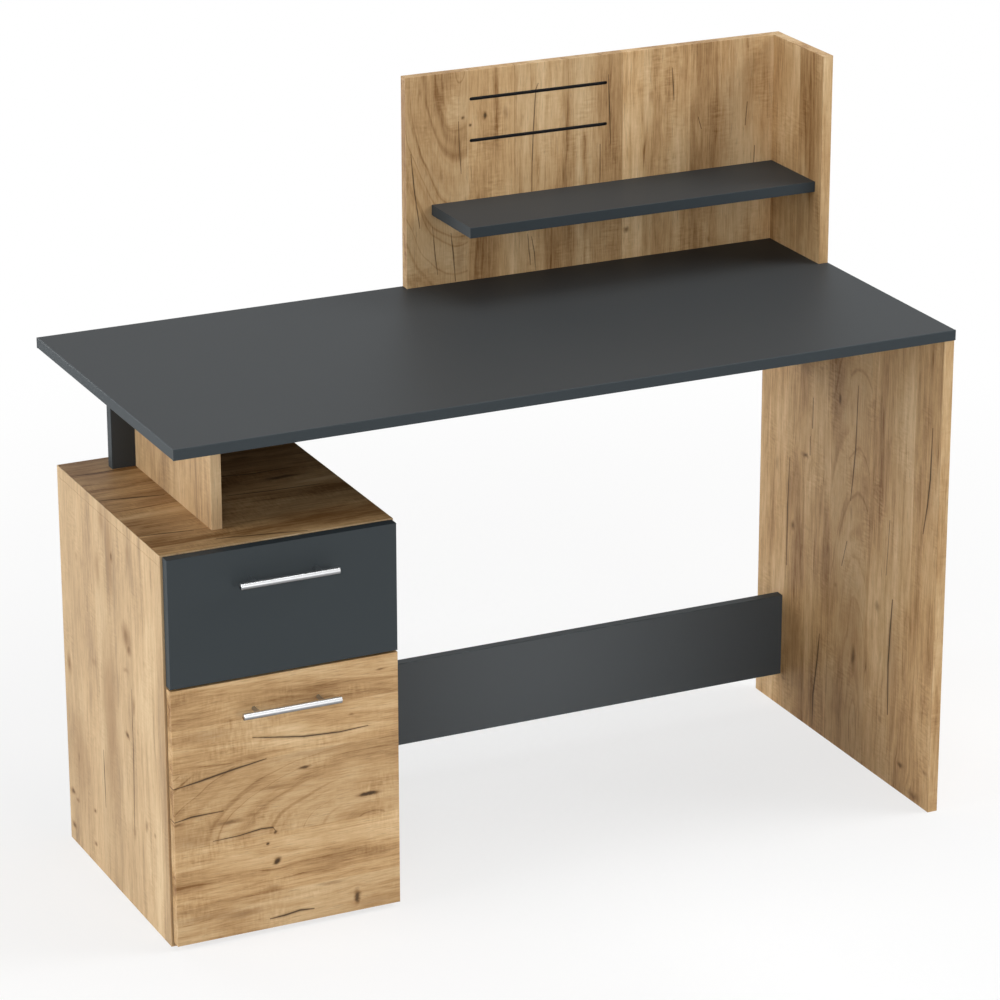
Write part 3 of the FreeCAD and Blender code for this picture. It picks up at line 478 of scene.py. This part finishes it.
class OakFoil(Finish):
    """Oak foil on one board: u runs along the grain, v across it and w through the board."""

    def __init__(self, name, settings, along, across, seed):
        super().__init__(name)
        self.settings = settings
        self.seed = seed
        place = self.place()
        self.u, self.v, self.w = place[along], place[across], place[3 - along - across]
        wander = self.drawn_out(WANDER, self.u, self.v, along=seed) - 0.5
        self.wander = wander * WANDER_REACH
        self.bent = self.v + self.wander
        self.contrast = self.lines = 1.0

    def drawn_out(self, waves, u, v, along=0.0, across=0.0):
        """Noise drawn out along the grain and moved by a number of waves."""
        vector = self.vector(u * waves.along + along, v * waves.across + across, self.w * waves.across)
        return self.noise(vector, waves.detail, waves.roughness, waves.distortion)

    def lay_planks(self, planks):
        """Each plank has its own tone and its own stretch of grain."""
        first, last = planks[0][0] * MM, planks[-1][0] * MM + LAST_PLANK
        stops = []
        for number, (start, tone) in enumerate(planks):
            half = tone / 2
            shift = number * SHIFT_STEP % 1
            stops.append(((start * MM - first) / (last - first), (half, half, half, shift)))
        beside = self.span(self.v, first, last, smooth=False)
        self.plank_tone = self.ramp(beside, stops, "CONSTANT") * 2.0
        self.plank_u = self.u + self.ramp(beside, stops, "CONSTANT", output=1) * PLANK_SHIFT

    def give_way(self, spot):
        """Grain lines pass round a knot."""
        across = (self.v - spot.across * MM) * (0.5 / (spot.half_width * MM))
        along = (self.u - spot.along * MM) * (0.5 / (spot.half_length * MM))
        push = across * (spot.half_width * MM) / (along * along + across * across + 1.0)
        self.bent = self.bent - push

    def slant(self, low, slope):
        """Above a height the grain runs at a slope."""
        self.bent = self.bent + (self.u * slope) * (self.v > low * MM)

    def draw_arches(self, figure):
        """In the figure's band the grain runs in arches round a heart."""
        u, v = self.u, self.v
        around = self.vector(u * SWIRL.along, v * SWIRL.across, 0.0)
        swirl = self.noise(around, SWIRL.detail) - 0.5
        along = (u - figure.along * MM) / figure.stretch
        across = v - figure.across * MM + swirl * SWIRL_REACH
        reach = (along * along + across * across).math("SQRT")
        inside = (v > figure.low * MM) * (v < figure.high * MM)
        self.bent = self.bent + (reach - self.bent) * inside
        self.contrast = inside * (figure.contrast - 1.0) + 1.0
        self.lines = inside * (figure.contrast * ARCH_LINES) + 1.0

    def wood_level(self, painted_shade):
        """How pale the wood is: 0 is brown, 0.5 the middle colour and 1 pale."""
        u, v, seed = self.u, self.v, self.seed
        field = self.drawn_out(FIELD, self.plank_u, self.bent, across=seed)
        self.streak = self.drawn_out(STREAK, self.plank_u, self.bent, across=seed)
        vein = self.drawn_out(VEIN, self.plank_u, self.bent)
        self.fibre = self.drawn_out(FIBRE, u, v + self.wander, along=seed)
        ripple = self.drawn_out(RIPPLE, u, v, across=seed)
        flecked = self.span(self.drawn_out(FLECK, u, v, across=seed), 0.45, 0.7)
        cloud = self.drawn_out(CLOUD, u, v, along=seed)
        broad = (field - 0.5) * FIELD_SHARE + (self.streak - 0.5) * STREAK_SHARE
        fine = (self.fibre - 0.5) * FIBRE_SHARE + (cloud - 0.5) * CLOUD_SHARE
        rippled = (ripple - 0.5) * (flecked * FLECKED_SHARE + RIPPLE_SHARE)
        thin = self.span(abs(vein - 0.5), 0.0, VEIN_WIDTH, VEIN_DARKNESS, 0.0)
        dash = self.span(self.streak, 0.26, 0.4, DASH_DARKNESS, 0.0)
        # painted_shade darkens a whole board for the shade that it lies in; a negative value paints the
        # board lighter instead
        level = broad * self.contrast + fine + rippled + (MIDDLE_LEVEL - painted_shade)
        return level - thin * self.lines - dash * self.contrast

    def colour_wood(self, painted_shade, painted_sheen):
        """The wood's colour with its pores, before any knot or crack."""
        settings = self.settings
        self.colour = self.ramp(self.wood_level(painted_shade), [
            (0.0, tuple(settings.brown)), (0.5, tuple(settings.middle)), (1.0, tuple(settings.pale))])
        # Painted sheen: the board's colour is mixed towards a pale colour for the strong light on it
        if painted_sheen:
            self.colour = self.mix(painted_sheen, self.colour, tuple(settings.painted_sheen_colour))
        pores = self.span(self.drawn_out(PORE, self.u, self.v, across=self.seed), 0.58, 0.7)
        self.colour = self.tone(self.colour, (1.0 - pores * PORE_DARKNESS) * self.plank_tone)
        self.depth = pores * 0.5

    def darken(self, halo, core):
        """Lays a brown halo and a dark core, both 0 to 1, over the wood."""
        self.colour = self.mix(halo, self.colour, tuple(self.settings.brown))
        self.colour = self.mix(core * CORE_SHARE, self.colour, tuple(self.settings.crack))
        self.depth = self.depth.most(core)

    def frayed_place(self):
        """The place on the board, moved about so that the spots have ragged outlines."""
        u, v, w = self.u, self.v, self.w
        vector = self.vector(u * FRAY.along + self.seed, v * FRAY.across, w * FRAY.across)
        warp = self.noise(vector, FRAY.detail, FRAY.roughness, output=1)
        centred = self.node("ShaderNodeVectorMath", {"operation": "SUBTRACT"}, {
            0: warp, 1: (0.5, 0.5, 0.5)})
        return self.node("ShaderNodeVectorMath", {"operation": "MULTIPLY_ADD"}, {
            0: centred, 1: FRAY_REACH, 2: self.vector(u, v, 0.0)})

    def spot_depth(self, ragged, spot):
        """How dark a knot, a brown cloud or a patch of painted shade is at a place."""
        long, wide = spot.half_length * MM, spot.half_width * MM
        near = self.node("ShaderNodeVectorMath", {"operation": "MULTIPLY_ADD"}, {
            0: ragged, 1: (1 / long, 1 / wide, 0.0),
            2: (-spot.along * MM / long, -spot.across * MM / wide, 0.0)})
        radius = self.node("ShaderNodeVectorMath", {"operation": "LENGTH"}, {0: near}, output=1)
        return self.span(radius, 0.1, 1.7, spot.darkness, 0.0)

    def draw_spots(self, spots):
        ragged = self.frayed_place()
        cloudy = self.spot_depth(ragged, spots[0])
        for spot in spots[1:]:
            cloudy = cloudy.most(self.spot_depth(ragged, spot))
        cloudy = cloudy * (self.streak * 0.9 + 0.6)
        self.darken(self.span(cloudy, 0.0, 0.8, 0.0, CLOUDY_SHARE), self.span(cloudy, 0.45, 0.95))

    def crack_stops(self, points, low, high):
        """Along a crack: its place across the grain as colour, its share of the width as alpha."""
        start, end = points[0][0], points[-1][0]
        count = len(points) - 1
        stops = []
        for number, (a, b) in enumerate(points):
            taper = CRACK_TIP + (1 - 2 * CRACK_TIP) * number / count
            width = math.sin(math.pi * taper) if count > 1 else SHORT_CRACK
            level = (b - low) / (high - low)
            stops.append(((a - start) / (end - start), (level, level, level, width)))
        return stops

    def crack_depth(self, points, half_width):
        """How near a printed crack is: 1 in its middle, 0 at its edge and -2 well away from it."""
        points = sorted((a * MM, b * MM) for a, b in points)
        start, end = points[0][0], points[-1][0]
        low = min(b for a, b in points) - CRACK_MARGIN * MM
        high = max(b for a, b in points) + CRACK_MARGIN * MM
        stops = self.crack_stops(points, low, high)
        along = self.span(self.u, start, end, smooth=False)
        middle = self.ramp(along, stops) * (high - low) + low
        width = self.ramp(along, stops, output=1) * (half_width * CRACK_RIM * MM)
        inside = (self.u > start) * (self.u < end)
        across = self.v + (self.fibre - 0.5) * CRACK_RAGGED
        return (3.0 - (abs(across - middle) / width).least(3.0)) * inside - 2.0

    def draw_crack(self, points, half_width):
        mark = self.crack_depth(points, half_width)
        halo = self.span(mark, -1.7, 0.7, 0.0, HALO_SHARE)
        self.darken(halo, self.span(mark * (self.streak * 0.8 + 0.7), 0.0, 0.8))

    def press(self):
        """Ends the foil in its shader, with pores, knots and cracks pressed in."""
        return self.surface(
            Base_Color=self.colour, Roughness=self.depth * 0.2 + self.settings.roughness,
            Specular_IOR_Level=self.settings.sheen,
            Normal=self.bump(1.0 - self.depth, 0.6, self.settings.relief))


def oak_finish(name, settings, along, across, seed, cracks=(), spots=(), planks=(), figure=None,
               lean=None, painted_shade=0.0, painted_sheen=0.0):
    """Oak foil with its planks, figure, knots and cracks."""
    spots = [Spot(*row) for row in spots]
    foil = OakFoil(name, settings, along, across, seed)
    foil.lay_planks(planks or random_planks(seed))
    for spot in spots:
        if spot.darkness > KNOT_DARKNESS:
            foil.give_way(spot)
    if lean:
        foil.slant(*lean)
    if figure:
        foil.draw_arches(Figure(*figure))
    foil.colour_wood(painted_shade, painted_sheen)
    if spots:
        foil.draw_spots(spots)
    for crack in cracks:
        foil.draw_crack(*crack)
    return foil.press()


# Each oak board: its nodes, the axes along and across its grain, its seed and its marks
OAK_BOARDS = (
    (("right_leg_panel",), Z, Y, 3.7, dict(
        cracks=LEG_CRACKS, spots=LEG_SPOTS_AND_PAINTED_SHADE, planks=LEG_PLANKS, figure=LEG_FIGURE)),
    (("leg_edging",), Z, Y, 5.3, dict(planks=LEG_EDGE_PLANKS)),
    # The cabinet's left side and the post get painted sheen for the strong light on their left faces
    (("cabinet_left_side", "cabinet_edging"), Z, Y, 11.3, dict(
        cracks=SIDE_CRACKS, spots=SIDE_SPOTS, planks=SIDE_PLANKS, painted_sheen=0.3)),
    (("cabinet_right_side",), Z, Y, 17.9, {}),
    # The cabinet's top is painted darker for the shade under the desktop
    (("cabinet_top",), X, Y, 23.1, dict(
        cracks=TOP_CRACKS, spots=TOP_SPOTS, planks=TOP_PLANKS, painted_shade=0.22)),
    (("cabinet_bottom",), X, Y, 29.3, {}),
    (("cabinet_divider",), X, Y, 31.7, {}),
    (("cabinet_shelf",), X, Y, 37.1, {}),
    (("support_post",), Z, Y, 41.9, dict(painted_sheen=0.2)),
    # The hutch back is painted slightly lighter, as painted light
    (("hutch_back_panel", "hutch_edging"), Z, X, 43.3, dict(
        cracks=HUTCH_CRACKS, spots=HUTCH_SPOTS, planks=HUTCH_PLANKS, figure=HUTCH_FIGURE,
        painted_shade=-0.05)),
    (("hutch_side_panel",), Z, Y, 47.7, {}),
    (("door_panel", "door_edging"), X, Z, 53.9, dict(
        cracks=DOOR_CRACKS, spots=DOOR_SPOTS, planks=DOOR_PLANKS, figure=DOOR_FIGURE,
        lean=(266, 0.09))),
)


class DESK_OT_oak_boards(bpy.types.Operator):
    """Gives every oak board and its edge bands their run of grain, with its cracks and knots"""
    bl_idname = "desk.oak_boards"
    bl_label = "Oak boards"

    def execute(self, context):
        settings = context.scene.desk_settings.oak
        for nodes, along, across, seed, marks in OAK_BOARDS:
            dress(oak_finish(f"oak {nodes[0]}", settings, along, across, seed, **marks), *nodes)
        return {"FINISHED"}


class DESK_OT_dark_boards(bpy.types.Operator):
    """Gives the anthracite boards and their edge bands a satin foil"""
    bl_idname = "desk.dark_boards"
    bl_label = "Anthracite boards"

    def execute(self, context):
        settings = context.scene.desk_settings.dark
        # The boards take the lighter copy of the foil, partly painted light for their shaded parts; the
        # front keeps the darker one
        self.lay_foil("anthracite board foil", settings.board, settings.board_sheen, settings.roughness, (
            "desktop", "upper_rail", "lower_rail", "hutch_shelf"))
        self.lay_foil("anthracite front foil", settings.front, settings.front_sheen, settings.roughness, (
            "drawer_front",))
        self.lay_foil("anthracite edge band", settings.edge, settings.edge_sheen, settings.roughness, (
            "desktop_edging", "rail_edging", "hutch_shelf_edging", "drawer_front_edging"))
        return {"FINISHED"}

    def lay_foil(self, name, base, sheen, roughness, nodes):
        finish = Finish(name)
        cloud = finish.grit(waves=6.0, detail=3.0)
        pearl = finish.grit(waves=900.0, detail=2.0)
        colour = finish.tone(tuple(base), 0.94 + cloud * 0.06 + pearl * 0.06)
        dress(finish.surface(
            Base_Color=colour, Roughness=roughness + (pearl - 0.5) * 0.1, Specular_IOR_Level=sheen,
            Normal=finish.bump(pearl, strength=0.25, distance=0.1 * MM)), *nodes)


class DESK_OT_fittings(bpy.types.Operator):
    """Gives the handles, runners, hinges, screws, dowels and sheets their finishes"""
    bl_idname = "desk.fittings"
    bl_label = "Fittings"

    def execute(self, context):
        settings = context.scene.desk_settings.metal
        for node in ("drawer_handle_bar", "door_handle_bar"):
            self.brush_bar(settings, node)
        self.plate("zinc plate", settings.zinc, 0.35, (
            "cam_locks", "cam_bolts", "connecting_screws", "runner_screws", "hinge_screws",
            "hinge_cup_screws", "door_handle_screws", "drawer_handle_screws", "drawer_runner_screws",
            "drawer_cam_fittings", "drawer_screws", "shelf_pins", "door_handle_posts",
            "drawer_handle_posts"))
        self.plate("nickel plate", settings.nickel, 0.25, (
            "hinge_plates", "hinge_arms", "hinge_pins", "hinge_cups"))
        self.coat("runner paint", tuple(settings.painted), 0.4, (
            "cabinet_runner_left", "cabinet_runner_right", "drawer_runner_left", "drawer_runner_right"))
        self.coat("nylon", srgb(232, 230, 222), 0.45, (
            "cabinet_roller_left", "cabinet_roller_right", "drawer_roller_left", "drawer_roller_right"))
        self.coat("soft clear pads", srgb(215, 215, 210), 0.35, ("front_bumpers",))
        self.coat("beech", srgb(206, 170, 124), 0.6, ("dowels",))
        self.coat("white hardboard", srgb(228, 224, 216), 0.55, ("cabinet_back", "drawer_bottom"))
        self.coat("drawer board", srgb(74, 80, 84), 0.5, (
            "drawer_side_left", "drawer_side_right", "drawer_back"))
        return {"FINISHED"}

    def brush_bar(self, settings, node):
        """Brushed steel, with painted shade that darkens the bar's underside."""
        finish = Finish(f"brushed steel {node}")
        x, y, z = finish.place()
        lines = finish.noise(finish.vector(x * 30.0, y * 2500.0, z * 2500.0), detail=2.0)
        low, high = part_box(node)
        # Painted shade: towards the bottom of each bar its colour goes over to the shaded underside
        # colour
        unshaded_share = finish.span((z - low.z) / (high.z - low.z), 0.38, 0.62)
        dress(finish.surface(
            Base_Color=finish.mix(unshaded_share, tuple(settings.shaded), tuple(settings.bright)),
            Metallic=1.0, Roughness=settings.roughness + (lines - 0.5) * 0.2,
            Normal=finish.bump(lines, strength=0.1, distance=0.05 * MM)), node)

    def plate(self, name, base, roughness, nodes):
        """Plated metal with a faint bloom."""
        finish = Finish(name)
        bloom = finish.grit(waves=300.0, detail=3.0)
        dress(finish.surface(
            Base_Color=finish.tone(tuple(base), 0.9 + bloom * 0.2), Metallic=1.0,
            Roughness=roughness + (bloom - 0.5) * 0.2), *nodes)

    def coat(self, name, base, roughness, nodes):
        """A plain matt material, slightly uneven."""
        finish = Finish(name)
        cloud = finish.grit(waves=120.0, detail=3.0)
        dress(finish.surface(
            Base_Color=finish.tone(base, 0.95 + cloud * 0.1), Roughness=roughness + (cloud - 0.5) * 0.1,
            Normal=finish.bump(cloud, strength=0.1, distance=0.1 * MM)), *nodes)


# Grooves of the hutch, in millimetres: inset and length along the board, inset from its top edge
GROOVE_INSET, GROOVE_LENGTH, GROOVE_WIDTH, GROOVE_DEPTH = 103, 226, 5, 8
GROOVE_TOP_INSET, GROOVE_PITCH, GROOVE_COUNT = 43, 63, 2
LINING_SKIN = 0.4
LINING_SEGMENTS = 24


class DESK_OT_groove_linings(bpy.types.Operator):
    """Lines the two card grooves of the hutch with black trays"""
    bl_idname = "desk.groove_linings"
    bl_label = "Groove linings"

    def execute(self, context):
        material = self.black()
        low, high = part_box("hutch_edging")
        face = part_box("hutch_back_panel")[0].y
        middle = low.x + (GROOVE_INSET + GROOVE_LENGTH / 2) * MM
        for number in range(GROOVE_COUNT):
            height = high.z - (GROOVE_TOP_INSET + number * GROOVE_PITCH) * MM
            mesh = self.tray()
            bmesh.ops.translate(mesh, vec=(middle, face, height), verts=mesh.verts[:])
            data = bpy.data.meshes.new(f"groove_lining_{number + 1}")
            mesh.to_mesh(data)
            mesh.free()
            lining = bpy.data.objects.new(data.name, data)
            context.scene.collection.objects.link(lining)
            data.materials.append(material)
            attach(lining, "desk")
        return {"FINISHED"}

    def black(self):
        finish = Finish("black lining")
        dust = finish.grit(waves=400.0, detail=2.0)
        return finish.surface(Base_Color=finish.tone(srgb(16, 16, 17), 0.8 + dust * 0.4),
                              Roughness=0.65 + (dust - 0.5) * 0.2)

    def tray(self):
        """A tray with round ends that lines a groove and is open towards the front, where y is 0."""
        mesh = bmesh.new()
        upright = Matrix.Rotation(math.pi / 2, 4, "X")
        half_step = Matrix.Rotation(math.pi / LINING_SEGMENTS, 4, "Z")
        bmesh.ops.create_circle(mesh, cap_ends=True, segments=LINING_SEGMENTS,
                                radius=(GROOVE_WIDTH - LINING_SKIN) / 2 * MM,
                                matrix=upright @ half_step)
        stretch = (GROOVE_LENGTH - GROOVE_WIDTH) / 2 * MM
        for side in (-1, 1):
            half = [v for v in mesh.verts if v.co.x * side > 0]
            bmesh.ops.translate(mesh, vec=(side * stretch, 0.0, 0.0), verts=half)
        depth = (GROOVE_DEPTH - LINING_SKIN) * MM
        bmesh.ops.translate(mesh, vec=(0.0, depth, 0.0), verts=mesh.verts[:])
        walls = bmesh.ops.extrude_edge_only(mesh, edges=mesh.edges[:])
        bmesh.ops.translate(mesh, vec=(0.0, -depth, 0.0), verts=[
            v for v in walls["geom"] if isinstance(v, bmesh.types.BMVert)])
        bmesh.ops.recalc_face_normals(mesh, faces=mesh.faces[:])
        return mesh


# Where the lamps aim, in metres
DESK_MIDDLE = (0.0, 0.0, 0.5)
LOWER_RAIL = (0.16, 0.19, 0.13)
WIDE, NARROW = 180.0, 26.0

# The floor shows the shadows near the desk and is plain white further off
SHADOW_RADIUS, WHITE_RADIUS = 0.8, 2.4
WHITE_UNDER_DESK = 0.72

# The camera, fitted to the photograph: millimetres, metres and radians
LENS, SENSOR = 151.09, 36.0
CAMERA_PLACE = (-2.445053, -5.168693, 2.591313)
YAW, PITCH, ROLL = 0.4425, -0.3504, -0.0016


class DESK_OT_stage(bpy.types.Operator):
    """Sets up the pale floor, the soft lamps, the sky and the camera"""
    bl_idname = "desk.stage"
    bl_label = "Stage"

    def execute(self, context):
        settings = context.scene.desk_settings.stage
        scene = context.scene
        self.lay_floor(scene, settings)
        self.light_sky(scene, settings)
        # Each lamp's name, power, place, target, diameter and spread
        lamps = (
            ("top lamp", settings.top, (0.6, -0.08, 5.0), DESK_MIDDLE, 3.0, WIDE),
            ("left lamp", settings.left, (-4.4, 0.0, 1.44), DESK_MIDDLE, 2.5, WIDE),
            ("right lamp", settings.right, (3.46, -1.26, 3.08), DESK_MIDDLE, 2.5, WIDE),
            ("front lamp", settings.front, (0.0, -4.99, 1.15), DESK_MIDDLE, 1.0, WIDE),
            ("corner lamp", settings.corner, (-2.4, -4.0, 2.2), DESK_MIDDLE, 2.0, WIDE),
            ("back lamp", settings.back, (-1.52, 4.16, 1.28), DESK_MIDDLE, 2.2, WIDE),
            ("knee lamp", settings.knee, (0.15, -1.9, 0.12), LOWER_RAIL, 0.3, NARROW),
        )
        for lamp in lamps:
            self.hang_lamp(scene, *lamp)
        self.place_camera(scene)
        scene.view_settings.view_transform = "Standard"
        return {"FINISHED"}

    def hang_lamp(self, scene, name, power, place, target, size, spread):
        data = bpy.data.lights.new(name, "AREA")
        data.shape = "DISK"
        data.size = size
        data.energy = power
        data.spread = math.radians(spread)
        lamp = bpy.data.objects.new(name, data)
        scene.collection.objects.link(lamp)
        lamp.location = place
        lamp.rotation_euler = (Vector(target) - Vector(place)).to_track_quat("-Z", "Y").to_euler()
        lamp.visible_camera = False

    def lay_floor(self, scene, settings):
        mesh = bmesh.new()
        bmesh.ops.create_grid(mesh, x_segments=1, y_segments=1, size=settings.floor_size / 2)
        data = bpy.data.meshes.new("floor")
        mesh.to_mesh(data)
        mesh.free()
        floor = bpy.data.objects.new("floor", data)
        scene.collection.objects.link(floor)
        finish = Finish("pale floor")
        data.materials.append(finish.material)
        matt = finish.node("ShaderNodeBsdfDiffuse", sockets={"Color": tuple(settings.floor)})
        white = finish.node("ShaderNodeEmission", sockets={"Color": (1, 1, 1, 1), "Strength": 1.0})
        x, y, _ = finish.place()
        away = (x * x + y * y).math("SQRT")
        white_share = finish.span(away, SHADOW_RADIUS, WHITE_RADIUS, WHITE_UNDER_DESK, 1.0)
        share = finish.seen() * white_share
        mixed = finish.node("ShaderNodeMixShader", sockets={0: share, 1: matt, 2: white})
        finish.tree.links.new(mixed.socket, finish.output.inputs["Surface"])

    def light_sky(self, scene, settings):
        scene.world = bpy.data.worlds.new("white room")
        scene.world.use_nodes = True
        sky = Nodes(scene.world.node_tree)
        strength = sky.seen() * (1.0 - settings.sky) + settings.sky
        light = sky.node("ShaderNodeBackground", sockets={
            "Color": (1, 1, 1, 1), "Strength": strength})
        output = sky.tree.nodes.new("ShaderNodeOutputWorld")
        sky.tree.links.new(light.socket, output.inputs["Surface"])

    def place_camera(self, scene):
        data = bpy.data.cameras.new("camera")
        data.lens = LENS
        data.sensor_width = SENSOR
        camera = bpy.data.objects.new("camera", data)
        scene.collection.objects.link(camera)
        level = Vector((math.cos(YAW), -math.sin(YAW), 0.0))
        ahead = Vector((math.sin(YAW), math.cos(YAW), 0.0))
        forward = ahead * math.cos(PITCH) + Vector((0.0, 0.0, math.sin(PITCH)))
        upright = level.cross(forward)
        right = level * math.cos(ROLL) + upright * math.sin(ROLL)
        up = upright * math.cos(ROLL) - level * math.sin(ROLL)
        turn = Matrix((right, up, -forward)).transposed().to_4x4()
        camera.matrix_world = Matrix.Translation(CAMERA_PLACE) @ turn
        scene.camera = camera


class DESK_PT_panel(bpy.types.Panel):
    """Lists the desk's settings and the steps that dress it"""
    bl_idname = "DESK_PT_panel"
    bl_label = "Computer desk"
    bl_space_type = "VIEW_3D"
    bl_region_type = "UI"
    bl_category = "Desk"

    def draw(self, context):
        settings = context.scene.desk_settings
        for group in (settings.oak, settings.dark, settings.metal, settings.stage):
            box = self.layout.box()
            for name in group.bl_rna.properties.keys():
                if name not in ("rna_type", "name"):
                    box.prop(group, name)
        for operator in OPERATORS:
            self.layout.operator(operator.bl_idname)


OPERATORS = (
    DESK_OT_oak_boards, DESK_OT_dark_boards, DESK_OT_fittings, DESK_OT_groove_linings,
    DESK_OT_stage,
)
CLASSES = (
    OakSettings, DarkSettings, MetalSettings, StageSettings, DeskSettings, *OPERATORS, DESK_PT_panel,
)


def register():
    for cls in CLASSES:
        bpy.utils.register_class(cls)
    bpy.types.Scene.desk_settings = PointerProperty(type=DeskSettings)


def unregister():
    del bpy.types.Scene.desk_settings
    for cls in reversed(CLASSES):
        bpy.utils.unregister_class(cls)


def main():
    register()
    bpy.ops.desk.oak_boards()
    bpy.ops.desk.dark_boards()
    bpy.ops.desk.fittings()
    bpy.ops.desk.groove_linings()
    bpy.ops.desk.stage()


if __name__ == "__main__":
    main()
